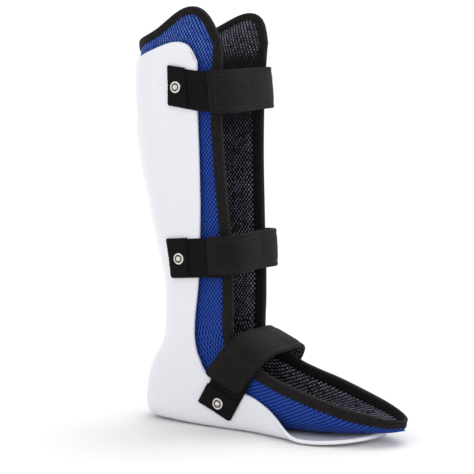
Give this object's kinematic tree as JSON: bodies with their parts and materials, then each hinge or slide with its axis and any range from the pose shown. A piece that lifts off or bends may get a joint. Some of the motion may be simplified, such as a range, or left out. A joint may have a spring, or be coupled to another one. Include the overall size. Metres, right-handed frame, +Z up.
{
  "type": "ankle foot orthosis",
  "caption": "Rigid moulded leg and foot shell with a removable padded mesh liner and padded hook and loop straps that swing open at the front.",
  "frame": {"origin": "on the sole's flat underside at floor level, on the midline, below the ankle", "axes": "+X to the toes, +Z up the leg, -Y to the side where the straps open"},
  "size_m": [0.2794, 0.1087, 0.386],
  "materials": {
    "shell": "satin white polypropylene",
    "blue_mesh": "blue spacer mesh",
    "black_mesh": "black spacer mesh",
    "foam": "soft foam padding",
    "binding": "folded knitted edge tape",
    "webbing": "flat woven webbing with loop pile",
    "strap": "matte brushed loop cloth",
    "hook": "hook tape",
    "nickel": "bright nickel plate"
  },
  "bodies": {
    "brace": {"shell": "shell", "liner_outer_mesh": "blue_mesh", "liner_foam": "foam", "liner_inner_mesh": "black_mesh", "liner_binding": "binding", "calf_near_hook_strip": "hook", "calf_far_hook_strip": "hook", "sole_hook_strip": "hook", "upper_near_tab": "webbing", "upper_near_rivet": "nickel", "upper_near_rivet_ring": "nickel", "upper_near_rivet_burr": "nickel", "upper_far_tab": "webbing", "upper_far_rivet": "nickel", "upper_far_rivet_ring": "nickel", "upper_far_rivet_burr": "nickel", "middle_near_tab": "webbing", "middle_near_rivet": "nickel", "middle_near_rivet_ring": "nickel", "middle_near_rivet_burr": "nickel", "middle_far_tab": "webbing", "middle_far_rivet": "nickel", "middle_far_rivet_ring": "nickel", "middle_far_rivet_burr": "nickel", "instep_near_tab": "webbing", "instep_near_rivet": "nickel", "instep_near_rivet_ring": "nickel", "instep_near_rivet_burr": "nickel", "instep_far_tab": "webbing", "instep_far_rivet": "nickel", "instep_far_rivet_ring": "nickel", "instep_far_rivet_burr": "nickel"},
    "upper_strap": {"upper_strap_cover": "strap", "upper_strap_foam": "foam", "upper_strap_lining": "black_mesh", "upper_hook_patch": "hook"},
    "middle_strap": {"middle_strap_cover": "strap", "middle_strap_foam": "foam", "middle_strap_lining": "black_mesh", "middle_hook_patch": "hook"},
    "instep_strap": {"instep_strap_cover": "strap", "instep_strap_foam": "foam", "instep_strap_lining": "black_mesh", "instep_hook_patch": "hook"}
  },
  "joints": [
    {"name": "upper_strap_hinge", "type": "hinge", "parent": "brace", "child": "upper_strap", "pos_m": [0.03825, 0.05108, 0.3146], "axis": [-0.09, 0, 0.9959], "range_deg": [0, 110]},
    {"name": "middle_strap_hinge", "type": "hinge", "parent": "brace", "child": "middle_strap", "pos_m": [0.04116, 0.04741, 0.1629], "axis": [-0.05, 0, 0.9987], "range_deg": [0, 110]},
    {"name": "instep_strap_hinge", "type": "hinge", "parent": "brace", "child": "instep_strap", "pos_m": [0.04903, 0.0467, 0.05254], "axis": [-0.9152, 0, 0.4031], "range_deg": [0, 110]}
  ]
}
